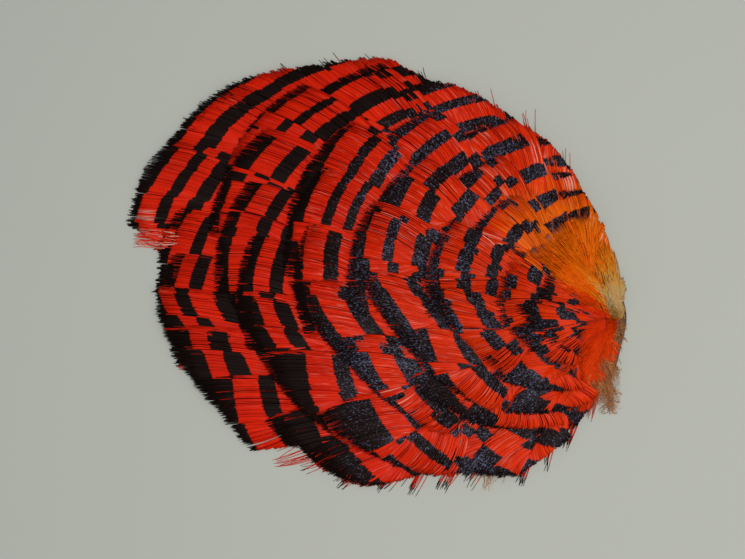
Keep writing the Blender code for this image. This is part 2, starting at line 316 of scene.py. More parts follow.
# %% Strands as one mesh
RIDGE = np.array([(-0.5, -0.07), (0.5, -0.07), (0.0, 0.20)])
ROUND = np.array([(0.5 * math.cos(a), 0.5 * math.sin(a)) for a in np.radians(np.arange(6) * 60.0)])
STRAND_NUMBERS = ("edge_mm", "along_mm", "tone", "dye", "melanin", "pinch")
PLAIN_STRAND = {"edge_mm": 10.0, "tone": 0.5, "dye": 0.0, "melanin": 0.0, "pinch": 0.0}


def strands(path, width, roll, profile, material=0, **numbers):
    """Carry a profile along each path: ring corner = path + width (x side + y up), with side
    square to the path and level, then both turned by roll about the path."""
    tangent = np.gradient(path, axis=1)
    tangent /= np.linalg.norm(tangent, axis=-1, keepdims=True)
    side = np.cross(tangent, np.array([0.0, 0.0, 1.0]))
    side /= np.linalg.norm(side, axis=-1, keepdims=True)
    up = np.cross(side, tangent)
    cos_r = np.cos(roll)[:, None, None]
    sin_r = np.sin(roll)[:, None, None]
    side, up = cos_r * side + sin_r * up, cos_r * up - sin_r * side
    x = profile[:, 0][:, None]
    y = profile[:, 1][:, None]
    rings = path[:, :, None] + width[:, :, None, None] * (side[:, :, None] * x + up[:, :, None] * y)
    steps = np.linalg.norm(np.diff(path, axis=1), axis=-1)
    along = np.concatenate([np.zeros((len(path), 1)), np.cumsum(steps, axis=1)], axis=1)
    numbers = {**PLAIN_STRAND, **numbers, "along_mm": along}
    values = {}
    for name in STRAND_NUMBERS:
        value = np.broadcast_to(np.asarray(numbers[name], float), along.shape)
        values[name] = np.repeat(value, len(profile), axis=1).ravel()
    return {"rings": rings, "values": values, "material": material}


def strand_faces(count, stations, corners):
    """Corner numbers of the side quads and of the two end caps of each strand."""
    strand, j, k = np.meshgrid(np.arange(count), np.arange(stations - 1), np.arange(corners),
                               indexing="ij")
    here = (strand * stations + j) * corners
    after = (k + 1) % corners
    quads = np.stack([here + k, here + corners + k, here + corners + after, here + after], axis=-1)
    start = np.arange(count)[:, None] * stations * corners + np.arange(corners)
    end = start[:, ::-1] + (stations - 1) * corners
    return quads.reshape(-1, 4), np.concatenate([start, end])


def strand_uv(count, stations, corners, first, total):
    """UV corners of the same faces: each strand is a strip in one of three columns."""
    lines = math.ceil(total / 3)
    number = first + np.arange(count)
    left = (number // lines)[:, None, None] / 3.0
    low = (number % lines)[:, None, None] / lines
    j = np.arange(stations - 1)[None, :, None]
    k = np.arange(corners)[None, None, :]
    u0 = left + (0.02 + 0.96 * j / (stations - 1)) / 3.0 * 0.98
    u1 = left + (0.02 + 0.96 * (j + 1) / (stations - 1)) / 3.0 * 0.98
    v0 = low + (0.06 + 0.88 * k / corners) / lines
    v1 = low + (0.06 + 0.88 * (k + 1) / corners) / lines
    quads = np.stack(np.broadcast_arrays(u0, v0, u1, v0, u1, v1, u0, v1), axis=-1)
    turns = np.arange(corners) * 2.0 * math.pi / corners
    caps = []
    for place in (0.009, 0.991):
        u = left[:, :, 0] + (place + 0.008 * np.cos(turns)) / 3.0 * 0.98
        v = low[:, :, 0] + (0.5 + 0.4 * np.sin(turns)) / lines
        caps.append(np.stack([u, v], axis=-1).reshape(-1, 2))
    return np.concatenate([quads.reshape(-1, 2), *caps])


def strand_piece(name, batches, materials):
    """One mesh object from several batches of strands, smooth, with its UV map and numbers."""
    total = sum(len(batch["rings"]) for batch in batches)
    places, loops, sizes, slots, uvs, done, first = [], [], [], [], [], 0, 0
    for batch in batches:
        count, stations, corners = batch["rings"].shape[:3]
        quads, caps = strand_faces(count, stations, corners)
        places.append(batch["rings"].reshape(-1, 3))
        loops += [quads.ravel() + done, caps.ravel() + done]
        sizes += [np.full(len(quads), 4), np.full(len(caps), corners)]
        slots.append(np.full(len(quads) + len(caps), batch["material"]))
        uvs.append(strand_uv(count, stations, corners, first, total))
        done += count * stations * corners
        first += count
    places = np.concatenate(places)
    places[:, :2] += GATHER
    loops, sizes = np.concatenate(loops), np.concatenate(sizes)
    mesh = bpy.data.meshes.new(name)
    mesh.vertices.add(len(places))
    mesh.loops.add(len(loops))
    mesh.polygons.add(len(sizes))
    mesh.vertices.foreach_set("co", (places * MM).astype(np.float32).ravel())
    mesh.loops.foreach_set("vertex_index", loops.astype(np.int32))
    starts = np.concatenate([[0], np.cumsum(sizes)[:-1]])
    mesh.polygons.foreach_set("loop_start", starts.astype(np.int32))
    mesh.polygons.foreach_set("material_index", np.concatenate(slots).astype(np.int32))
    mesh.polygons.foreach_set("use_smooth", np.ones(len(sizes), bool))
    mesh.update(calc_edges=True)
    layer = mesh.uv_layers.new(name="OFBake")
    layer.uv.foreach_set("vector", np.concatenate(uvs).astype(np.float32).ravel())
    for number in STRAND_NUMBERS:
        values = np.concatenate([batch["values"][number] for batch in batches])
        attribute = mesh.attributes.new(number, "FLOAT", "POINT")
        attribute.data.foreach_set("value", values.astype(np.float32))
    for material in materials:
        mesh.materials.append(material)
    return add_object(name, mesh)


# %% [markdown]
# ## How barbs grow from a shaft
# On a real tippet feather the barbs leave the shaft at a slant and sweep forward until they run
# almost along it. Those from the upper half of the shaft end on the square-cut tip, and the others
# on the side margins. Neighbours stick together in locks, and a lock that has slipped along the
# vane breaks the black bars into the dashes that the tippet is known for. On one side in four the
# outermost ends of the barbs stay red, so that the bars stop short of the margin. The barbs near
# the outline end unevenly, which gives its fringe.

# %% Barb paths
TIP_SHARE = 0.52      # share of the barbs that end on the tip edge
TIP_BOW = 2.2         # power of the tip edge's bow
FIRST_BARB = 0.55     # share of the bare quill below the first barb
CROWDING = 1.15       # power by which barbs leave the shaft closer together near the root
SIDE_SWEEP = 1.30     # sweep power of the barbs that end on a side margin
LOCK_PULL = 0.04      # share by which a lock's barbs draw together
RIM_PINCH = 0.45      # most that a lock's rim takes off a bar's ramp
MARGIN_FADE = 0.05    # share of the half width over which a red margin fades in
CUT_STEPS = 60        # places on each barb where the outline may cut it
FRINGE = 0.9          # unevenness of the barb ends past the outline, mm
RED_MARGIN = 0.955    # share of the half width where a red margin starts
SLIPPED_LOCKS, SLIPPED_BY = 0.12, 1.5    # share of the locks that slipped farther, and how far, mm
# By row: where the last barb leaves the shaft as a share of its length, the sweep power at the tip,
# the reach in mm below which no barb is cut, locks a side, slip of the locks and fray of the tip
# edge in mm.
LAST_BARB = {0: 0.86, 1: 0.86, 2: 0.86, 3: 0.84, 4: 0.80, 5: 0.60, 6: 0.45, 7: 0.34, 8: 0.26}
SWEEP = {1: 1.85, 2: 1.85, 3: 1.80, 4: 1.70, 5: 1.45, 6: 1.30, 7: 1.20, 8: 1.15}
UNCUT_REACH = {1: 10.0, 2: 9.0, 3: 8.0, 4: 7.0, 5: 5.5, 6: 4.0, 7: 4.0, 8: 4.0}
LOCKS = {1: 6, 2: 6, 3: 7, 4: 7, 5: 8, 6: 11, 7: 11, 8: 8}
SLIP = {1: 0.20, 2: 0.20, 3: 0.20, 4: 0.20, 5: 0.35, 6: 0.80, 7: 0.80, 8: 0.40}
TIP_FRAY = {1: 1.0, 2: 0.8, 3: 0.8, 4: 0.9, 5: 1.3, 6: 2.4, 7: 2.4, 8: 2.4}


def soft_step(x):
    """0 below 0, 1 above 1, and 3x^2 - 2x^3 between."""
    x = np.clip(x, 0.0, 1.0)
    return x * x * (3.0 - 2.0 * x)


def barb_paths(feather, side, count, rng, lean=0.0, tip_line=-9.0, stations=8):
    """Plan paths of one side's barbs, their distance from the tip edge in mm, and their pinch.

    With u from 0 at the shaft to 1 at the end: s = s0 + (se - s0) u and t = te (1 - (1 - u)^p).
    Barbs from the upper half of the shaft have their end (se, te) on the tip edge, the others on
    the side margin. Distances from the tip edge grow by lean times t / half, and a barb ends where
    its distance is under the tip line.
    """
    length = feather["length"]
    half = feather["half"]
    start = VANE_START[feather["row"]]

    def tip_edge(t):
        bow = TIP_ROUNDING * half * np.abs(t / half) ** TIP_BOW
        return length - bow - math.tan(feather["skew"]) * t * side

    def from_tip(s, t):
        return (tip_edge(t) - s) * math.cos(feather["skew"]) + lean * side * t / half

    grown = np.linspace(0.02, 0.995, count)
    left = 1.0 - grown
    at_tip = left < TIP_SHARE
    down_side = np.clip((left - TIP_SHARE) / (1.0 - TIP_SHARE), 0.0, 1.0)
    corner = tip_edge(half)
    se_side = corner - (corner - (start + 0.04) * length) * down_side
    te_tip = half * np.minimum(left / TIP_SHARE, 1.0)
    te = np.where(at_tip, te_tip, half_vane(feather, se_side / length))
    se = np.where(at_tip, tip_edge(te_tip), se_side)

    locks = LOCKS[feather["row"]]
    cuts = np.sort(rng.random(locks - 1))
    lock = np.searchsorted(cuts, grown)
    slipped = rng.choice([-SLIPPED_BY, SLIPPED_BY], locks) * (rng.random(locks) < SLIPPED_LOCKS)
    slip = (SLIP[feather["row"]] * rng.standard_normal(locks) + slipped)[lock]
    middle = np.array([te[lock == n].mean() if (lock == n).any() else 0.0 for n in range(locks)])
    te = te + LOCK_PULL * (middle[lock] - te) * at_tip
    te = te * (1.0 + 0.012 * rng.standard_normal(count))
    fray = 0.22 * rng.standard_normal(count) - 0.5 * rng.random(count) ** 3
    se = se + TIP_FRAY[feather["row"]] * fray

    first = FIRST_BARB * start * length
    s0 = first + (LAST_BARB[feather["row"]] * length - first) * grown ** CROWDING
    s0 = np.minimum(s0, se - 0.05 * length)
    power = np.where(at_tip, SWEEP[feather["row"]], SIDE_SWEEP)

    def path(u):
        s = s0[:, None] + (se - s0)[:, None] * u
        t = te[:, None] * (1.0 - (1.0 - u) ** power[:, None])
        return s, t, on_feather(feather, s, side * t)

    u = np.broadcast_to(np.linspace(0.0, 1.0, CUT_STEPS), (count, CUT_STEPS))
    s, t, points = path(u)
    ragged = FRINGE * (rng.random(locks)[lock] + rng.random(count) ** 2)
    room = fan_reach(points) + ragged[:, None] + fringe_step(points)
    reach = np.linalg.norm(points, axis=-1)
    beyond = (reach > room) & (reach > UNCUT_REACH[feather["row"]])
    beyond |= from_tip(s, t) < tip_line - 0.3 * ragged[:, None]
    cut = np.where(beyond.any(axis=1), u[0][beyond.argmax(axis=1)], 1.0)
    cut = np.maximum(cut, 0.05)
    u = cut[:, None] * np.linspace(0.0, 1.0, stations)
    s, t, points = path(u)
    edge = from_tip(s, t) + (slip + 0.07 * rng.standard_normal(count))[:, None]
    bounds = np.concatenate([[0.0], cuts, [1.0]])
    middles = 0.5 * (bounds[1:] + bounds[:-1])
    widths = np.maximum(bounds[1:] - bounds[:-1], 0.01)
    off_middle = np.abs(grown - middles[lock]) / (0.5 * widths[lock])
    pinch = (RIM_PINCH * off_middle ** 6 * rng.random(locks)[lock])[:, None]
    margin = RED_MARGIN + 0.015 * rng.standard_normal(count)[:, None]
    margin = margin + rng.choice([0.0, 1.0, 1.0, 1.0])
    pinch = pinch + 2.0 * soft_step((t / half_vane(feather, s / length) - margin) / MARGIN_FADE)
    return {"points": points, "edge": edge, "t": t, "u": u, "pinch": pinch}


trial = barb_paths(longest, 1, 110, np.random.default_rng(1))
ends = trial["points"][:50, -1]
print("spacing of side ends, mm:", round(float(np.linalg.norm(np.diff(ends, axis=0), axis=1).mean()), 2))


# %% [markdown]
# ## How the dye took
# The whole tippet was dyed red over its natural golden orange. The short feathers on one side came
# out orange, and the quills next to the skin stayed a pale cream. A few thin locks at the outline
# took so little dye that they look pinkish white; pale locks of the same kind nearer the gather point
# are painted highlights, where light glints on the barbs. A painted mask could say where, but a
# short function of angle and reach around the gather point does it with a handful of numbers.

# %% Dye at a plan point: 0 red, 1 orange, 2 cream
# Reaches in mm by angle in degrees. Orange and cream fade out over the last mm inside their reach,
# and black fades in over the first mm outside its bare reach.
ORANGE_FADE, CREAM_FADE, BLACK_FADE = 13.0, 7.0, 1.5
ORANGE_REACH = np.array([(40, 33.0), (105, 33.0), (135, 36.0), (142, 32.0), (148, 24.0), (152, 9.0),
                         (157, 0.0)])
CREAM_REACH = np.array([(60, 14.0), (80, 15.0), (95, 15.0), (110, 10.0), (125, 6.0),
                        (140, 3.0), (170, 2.0)])
BARE_REACH = np.array([(60, 30.0), (92, 26.0), (98, 18.5), (143, 18.0), (149, 9.0), (158, 3.5),
                       (200, 4.0), (215, 7.0), (232, 9.0), (240, 14.0), (285, 14.0)])
# Locks of pale barbs: the first four, at the outline, took little dye; the others, 14 to 44 mm from the
# gather point, are painted highlights where light glints on the barbs.
PALE_AND_GLINT_LOCKS = [
    # angle, reach, half width across the barbs, half length along them, share of the barbs
    (167.5, 90.5, 3.0, 3.4, 0.45), (150.5, 83.0, 1.4, 2.6, 0.45), (139.0, 74.5, 1.4, 2.6, 0.40),
    (176.0, 85.0, 1.6, 2.6, 0.30), (115.0, 33.5, 3.0, 5.5, 0.25), (107.5, 27.5, 1.8, 4.5, 0.45),
    (102.0, 20.0, 1.6, 6.0, 0.22), (96.0, 14.0, 1.4, 4.5, 0.22),
    (133.0, 34.0, 5.0, 6.0, 0.16), (149.0, 27.0, 2.6, 7.0, 0.22), (127.0, 44.0, 5.0, 6.0, 0.10),
    (200.0, 44.0, 4.0, 6.0, 0.06), (219.0, 34.0, 4.0, 6.0, 0.06),
]


def dye_at(points, rng):
    """Dye number: orange inside one reach that depends on the angle, cream inside another."""
    angle = angle_of(points)
    reach = np.linalg.norm(points, axis=-1)
    angle = angle + 3.0 * rng.standard_normal((len(points), 1))
    wobble = 2.0 * rng.standard_normal((len(points), 1))
    orange_reach = np.interp(angle, ORANGE_REACH[:, 0], ORANGE_REACH[:, 1], 0.0, 0.0)
    orange = soft_step((orange_reach - reach + wobble) / ORANGE_FADE) * (orange_reach > 0)
    cream_reach = np.interp(angle, CREAM_REACH[:, 0], CREAM_REACH[:, 1], 0.0, 0.0)
    cream = soft_step((cream_reach - reach + 0.6 * wobble) / CREAM_FADE) * (cream_reach > 0)
    low_orange = 0.45 * soft_step((18.0 - reach + wobble) / 9.0) * (angle > 242.0)
    inner = 0.22 * soft_step((66.0 - reach) / 50.0)
    return np.maximum(np.maximum(orange + cream, low_orange), inner)


def melanin_at(points):
    """Share of black in a bar at a plan point: none inside a reach that depends on the angle."""
    bare = np.interp(angle_of(points), BARE_REACH[:, 0], BARE_REACH[:, 1])
    return soft_step((np.linalg.norm(points, axis=-1) - bare) / BLACK_FADE)


def pale_and_glint_share(points, chance):
    """Share of pale keratin, thinly dyed at the outline and a painted highlight nearer the gather
    point: 1 in the middle of each pale lock, 0 at its rim, an ellipse along the radius. Only barbs
    whose chance number is below the lock's share are pale."""
    angle = angle_of(points)
    reach = np.linalg.norm(points, axis=-1)
    share = np.zeros(points.shape[:-1])
    for at, middle, across, along, barbs in PALE_AND_GLINT_LOCKS:
        far = np.hypot(np.radians(angle - at) * reach / across, (reach - middle) / along)
        strength = 0.9 * (chance < barbs) * (0.35 + 0.65 * (chance / barbs))
        share = np.maximum(share, soft_step(1.6 * (1.0 - far)) * strength[:, None])
    return share


print("dye by the gather point:", dye_at(polar(110.0, 8.0)[None, None], np.random.default_rng(0)).round(2))


# %% [markdown]
# ## Colours
# Colours are noted as they look on a screen, as sRGB hex, and Blender works in linear light. One
# function turns one into the other. One more adds a shader node with its settings and links, so
# that a material reads like a recipe.

# %% Helpers for materials
BLACK = (0.0, 0.0, 0.0, 1.0)
WHITE = (1.0, 1.0, 1.0, 1.0)
MIXED = {"data_type": "RGBA"}
MULTIPLIED = {"data_type": "RGBA", "blend_type": "MULTIPLY"}
KERATIN_IOR = 1.55


def linear(code):
    """RGBA in linear light from an sRGB hex colour."""
    channels = [int(code[i:i + 2], 16) / 255.0 for i in (1, 3, 5)]
    return (*[c / 12.92 if c <= 0.04045 else ((c + 0.055) / 1.055) ** 2.4 for c in channels], 1.0)


def fill(tree, target, inputs):
    """Give each named input of a node a value, or a link from an output or from a node, which
    stands for its Fac output or else the first that is in use."""
    for socket, value in inputs.items():
        if isinstance(value, bpy.types.Node):
            value = value.outputs.get("Fac") or next(s for s in value.outputs if s.enabled)
        if isinstance(value, bpy.types.NodeSocket):
            tree.links.new(value, target.inputs[socket])
        else:
            target.inputs[socket].default_value = value


def node(tree, kind, inputs=None, stops=None, **settings):
    """Add a shader node: its inputs are filled, stops fill a colour ramp, and settings are the
    node's own properties."""
    made = tree.nodes.new("ShaderNode" + kind)
    for name, value in settings.items():
        setattr(made, name, value)
    fill(tree, made, inputs or {})
    if stops:
        elements = made.color_ramp.elements
        while len(elements) < len(stops):
            elements.new(1.0)
        for element, (position, colour) in zip(elements, stops):
            element.position = position
            element.color = colour
    return made


def new_material(name):
    """A material with its node tree and its Principled shader."""
    made = bpy.data.materials.new(name)
    made.use_nodes = True
    return made, made.node_tree, made.node_tree.nodes["Principled BSDF"]


# %% [markdown]
# ## Dyed barbs
# A barb is keratin, like hair: a clear glossy skin over a coloured core, with an index of
# refraction of about 1.55. The natural feather is golden orange with bars of blue-black melanin,
# about 2 mm wide and 5 to 6 mm apart, the first along the tip edge. Dye makes the light parts red
# and leaves the bars dark. The bars follow each feather's own tip edge, so they are drawn on the
# distance from that edge, which every barb carries. A rule places them, from a usual width, a usual
# gap and a seeded unevenness, and two short curves lean them. It gives bars of the right kind, not
# each bar where the photo has it. Fine barbules on the black barbs glint steel blue in the light. They
# are a few hundredths of a millimetre apart, too fine to show, so the glint is painted into the bars'
# colour as specks a quarter of a millimetre wide: a painted highlight, full within about 5 cm of the
# gather point. Thin pale streaks along some barbs, most of them 3 to 5 cm from the gather point, are
# painted highlights too, where light glints on the glossy barbs.

# %% The bars of each feather
# Distances from the tip edge in mm, positive inwards. The ramp starts at the tip line, outside it.
TIP = -4.0
BAR_SPAN = 24.0
BAR_SHOULDER = 1.0
BAR_BLUR = 0.12
BAR_SPREAD = 0.12
BAR_WIDTH = 2.35
BAR_GAP = 3.2
BAR_UNEVEN = 0.32
BARS_A_FEATHER = 4
LEAN = {"outer": [(105, 0.0), (182, 0.0), (192, 4.5), (240, 4.5)],
        "inner": [(105, -2.0), (175, -1.5), (195, 2.5), (240, 3.5)]}
UNBARRED = {(6, 1), (8, 1)}


def lean_of(row, angle):
    """How much farther from the tip edge a bar lies at a feather's left side than at its middle, in
    mm: one curve over the tip angle for the two lowest rows, another for the rows above."""
    places, leans = zip(*LEAN["outer" if row < 3 else "inner"])
    return float(np.interp(angle, places, leans))


def bars_of(row, number):
    """Edges of a feather's bars: the first from the tip inwards, then a gap and a bar in turn, each
    its usual size times 1 plus an even random number of either sign."""
    if (row, number) in UNBARRED:
        return []
    rng = np.random.default_rng([row, number, 5])
    stretch = 1.0 + BAR_UNEVEN * rng.uniform(-1.0, 1.0, (BARS_A_FEATHER, 2))
    bars, place = [], 0.0
    for gap, width in stretch * (BAR_GAP, BAR_WIDTH):
        low = place + gap if bars else TIP
        place = max(low, 0.0) + width
        bars.append((low, place))
    return bars


def bar_stops(bars):
    """Ramp stops from the tip line inwards: 0 at a bar's two edges and outside, 1 from a shoulder's
    width inside them, or from its middle if it is narrow. A bar from the tip line is 1 there."""
    light, dark = BLACK, WHITE
    stops = []
    for low, high in bars:
        high = high + BAR_SPREAD
        inside = (high - BAR_SHOULDER, dark)
        if low == TIP:
            stops.append((TIP, dark))
        else:
            low = low - BAR_SPREAD
            shoulder = min(BAR_SHOULDER, 0.5 * (high - low))
            stops += [(low, light), (low + shoulder, dark)]
            inside = (high - shoulder, dark)
        if inside[0] > stops[-1][0]:
            stops.append(inside)
        stops.append((high, light))
    stops = stops or [(TIP, light), (0.0, light)]
    return [((place - TIP) / BAR_SPAN, colour) for place, colour in stops]


print("bars of the longest feather:", [(round(low, 1), round(high, 1)) for low, high in bars_of(1, 8)])


# %% The finish of the barbs
GATHER_M = (0.006, 0.001, 0.004)
# The painted steel-blue highlight on the bars is full out to the first reach from the gather point, in
# metres, and faded to 0.4 at the second.
GLINT_FULL_TO, GLINT_FADED_AT = 0.052, 0.068
SPECKS_A_MM = 2.2
# Painted highlight streaks along the barbs, a mm.
PAINTED_STREAKS_A_MM = 0.22


def dyed_barb_material(name, bars):
    """Dyed keratin barbs with melanin bars at the given distances from the tip edge."""
    made, tree, shader = new_material(name)
    edge, along, tone, dye, melanin, pinch = (
        node(tree, "Attribute", attribute_name=number) for number in STRAND_NUMBERS)
    place = node(tree, "TexCoord").outputs["Object"]
    scaled = node(tree, "Math", {0: edge, 1: 1.0 / BAR_SPAN, 2: -TIP / BAR_SPAN},
                  operation="MULTIPLY_ADD")
    bar = node(tree, "ValToRGB", {"Fac": scaled}, bar_stops(bars))

    dye_share = node(tree, "Math", {0: dye, 1: 0.5}, operation="MULTIPLY")
    dyed = node(tree, "ValToRGB", {"Fac": dye_share}, [
        (0.0, linear("#dc1f02")), (0.25, linear("#e84000")), (0.5, linear("#e86200")),
        (0.75, linear("#da8a1c")), (1.0, linear("#bc9a6c"))])
    patchy = node(tree, "TexNoise", {"Vector": place, "Scale": 220.0, "Detail": 3.0, "Roughness": 0.6})
    depth = node(tree, "ValToRGB", {"Fac": patchy}, [(0.30, (0.80, 0.66, 0.66, 1.0)), (0.60, WHITE)])
    uneven = node(tree, "Mix", {0: 0.75, 6: dyed, 7: depth}, **MULTIPLIED)
    # Low tones darken a barb to a painted shade line between barbs; higher tones vary the red at random.
    streak = node(tree, "ValToRGB", {"Fac": tone}, [
        (0.0, (0.50, 0.34, 0.34, 1.0)), (0.16, (0.78, 0.66, 0.66, 1.0)), (0.45, WHITE),
        (1.0, (1.05, 1.60, 1.40, 1.0))])
    shaded = node(tree, "Mix", {0: 1.0, 6: uneven, 7: streak}, **MULTIPLIED)

    from_gather = node(tree, "VectorMath", {0: place, 1: GATHER_M}, operation="DISTANCE")
    lined = node(tree, "CombineXYZ", {0: along, 1: tone})
    long_lines = node(tree, "VectorMath", {0: lined, 1: (PAINTED_STREAKS_A_MM, 700.0, 1.0)}, operation="MULTIPLY")
    # Long pale streaks along some barbs, full 3 to 5 cm from the gather point: painted highlights of light
    # on the glossy barbs.
    painted_streak_noise = node(tree, "TexNoise", {"Vector": long_lines, "Scale": 1.0, "Detail": 1.0})
    painted_streak_share = node(tree, "MapRange", {"Value": painted_streak_noise, 1: 0.58, 2: 0.74, 3: 0.0, 4: 0.30})
    decimetres = node(tree, "Math", {0: from_gather, 1: 10.0}, operation="MULTIPLY")
    ring = node(tree, "ValToRGB", {"Fac": decimetres}, [
        (0.18, (0.10, 0.10, 0.10, 1.0)), (0.32, WHITE), (0.48, WHITE), (0.72, (0.15, 0.15, 0.15, 1.0))])
    painted_streak_near = node(tree, "Math", {0: painted_streak_share, 1: ring}, operation="MULTIPLY")
    # Tones above 1 turn a barb pale pink: thinly dyed at the outline, a painted highlight nearer the
    # gather point.
    thin = node(tree, "Math", {0: tone, 1: 1.0}, operation="SUBTRACT", use_clamp=True)
    pale = node(tree, "Math", {0: thin, 1: painted_streak_near}, operation="MAXIMUM")
    vane = node(tree, "Mix", {0: pale, 6: shaded, 7: linear("#f4b09c")}, **MIXED)

    stretch = node(tree, "VectorMath", {0: lined, 1: (SPECKS_A_MM, 900.0, 1.0)}, operation="MULTIPLY")
    specks = node(tree, "TexNoise", {"Vector": stretch, "Scale": 1.0, "Detail": 1.0})
    # Blue-grey specks on the black bars: a painted highlight, the glint of light on the barbules. The same
    # specks also set the roughness and the bump.
    glint_patch = node(tree, "TexNoise", {"Vector": place, "Scale": 120.0})
    glint_patch_even = node(tree, "MapRange", {"Value": glint_patch, 3: 0.55, 4: 1.0})
    glint_specks = node(tree, "Math", {0: specks, 1: glint_patch_even}, operation="MULTIPLY")
    glint_near_gather = node(tree, "MapRange", {"Value": from_gather, 1: GLINT_FULL_TO, 2: GLINT_FADED_AT,
                                          3: 1.0, 4: 0.40})
    painted_glint_share = node(tree, "Math", {0: glint_specks, 1: glint_near_gather}, operation="MULTIPLY")
    bar_black_and_glint = node(tree, "ValToRGB", {"Fac": painted_glint_share}, [
        (0.35, linear("#180b08")), (0.43, linear("#2a1c1e")), (0.56, linear("#5e6680"))])

    inside = node(tree, "Math", {0: bar, 1: pinch}, operation="SUBTRACT")
    sharp = node(tree, "MapRange", {"Value": inside, 1: 0.0, 2: BAR_BLUR})
    black = node(tree, "Math", {0: sharp, 1: melanin}, operation="MULTIPLY")
    colour = node(tree, "Mix", {0: black, 6: vane, 7: bar_black_and_glint}, **MIXED)
    gloss = node(tree, "MapRange", {"Value": specks, 1: 0.3, 2: 0.7, 3: 0.48, 4: 0.30})
    bump = node(tree, "Bump", {"Height": specks, "Strength": 0.35, "Distance": 0.00004})
    fill(tree, shader, {"Base Color": colour, "Roughness": gloss, "IOR": KERATIN_IOR,
                        "Specular IOR Level": 0.08, "Normal": bump})
    return made


trial_material = dyed_barb_material("trial barbs", bars_of(1, 8))
print("nodes in a barb material:", len(trial_material.node_tree.nodes))
bpy.data.materials.remove(trial_material)


# %% [markdown]
# ## Shafts
# The shaft is the same keratin, but solid, smooth and glossy, like a thin fingernail. Dye colours
# it less than the barbs, so it is amber where it is thick and red where it is thin.

# %% Shaft keratin
def shaft_material():
    """Glossy keratin shafts, pale at the root and dyed towards the tip."""
    made, tree, shader = new_material("quill keratin")
    dye, along = (node(tree, "Attribute", attribute_name=number) for number in ("dye", "along_mm"))
    place = node(tree, "TexCoord").outputs["Object"]
    cloud = node(tree, "TexNoise", {"Vector": place, "Scale": 500.0})
    near = node(tree, "MapRange", {"Value": along, 1: 0.0, 2: 22.0, 3: 1.0, 4: 0.25})
    share = node(tree, "Math", {0: dye, 1: 0.3, 2: near}, operation="MULTIPLY_ADD")
    jitter = node(tree, "Math", {0: cloud, 1: 0.2, 2: share}, operation="MULTIPLY_ADD")
    colour = node(tree, "ValToRGB", {"Fac": jitter}, [
        (0.35, linear("#b81c08")), (0.7, linear("#c8641c")), (1.0, linear("#d9b878"))])
    fill(tree, shader, {"Base Color": colour, "Roughness": 0.28, "IOR": KERATIN_IOR,
                        "Specular IOR Level": 0.3})
    return made


QUILL = shaft_material()


# %% [markdown]
# ## One feather
# A feather piece is two batches of barbs, one for each side, and its shaft. It replaces its CAD
# plate. Barbs vary: a few are darkened in their colour, a painted shade for barbs that would lie
# deeper in the vane, and each one is lifted, rolled and toned a little differently, which is what
# makes a vane look silky and not printed.

# %% Grow a feather
BARBS_A_SIDE = {1: 176, 2: 172, 3: 164, 4: 150, 5: 130, 6: 110, 7: 110, 8: 110}
TIP_DROOP = {1: 0.15, 2: 0.34, 3: 0.36, 4: 0.38, 5: 0.42, 6: 0.48, 7: 0.52, 8: 0.35}
HIDDEN_QUILL = 4.5
TOP_ROWS_FROM = 5
LOW_SHAFT, TOP_SHAFT = (0.22, 0.40), (0.34, 0.18)    # sunk below the vane, and width, in mm
BARB_ROLL = math.radians(16.0)
BARB_WIDTH = {1: 0.31, 2: 0.30, 3: 0.29, 4: 0.27, 5: 0.25, 6: 0.23, 7: 0.22, 8: 0.22}


def shaft_path(feather, upper, stations=22):
    """The shaft itself, as one strand from the root to where the last barb leaves it."""
    s = np.linspace(0.0, (LAST_BARB[feather["row"]] + 0.05) * feather["length"], stations)
    plan = on_feather(feather, s, np.zeros(stations))
    inside = np.linalg.norm(plan, axis=-1) < fan_reach(plan) - 1.5
    s = s[inside | (s < 0.5 * feather["length"])]
    s = np.linspace(max(0.14 * feather["length"], HIDDEN_QUILL), s.max(), stations)
    plan = on_feather(feather, s, np.zeros(stations))
    return s, np.concatenate([plan, height_on(upper, plan)[:, None]], axis=-1)


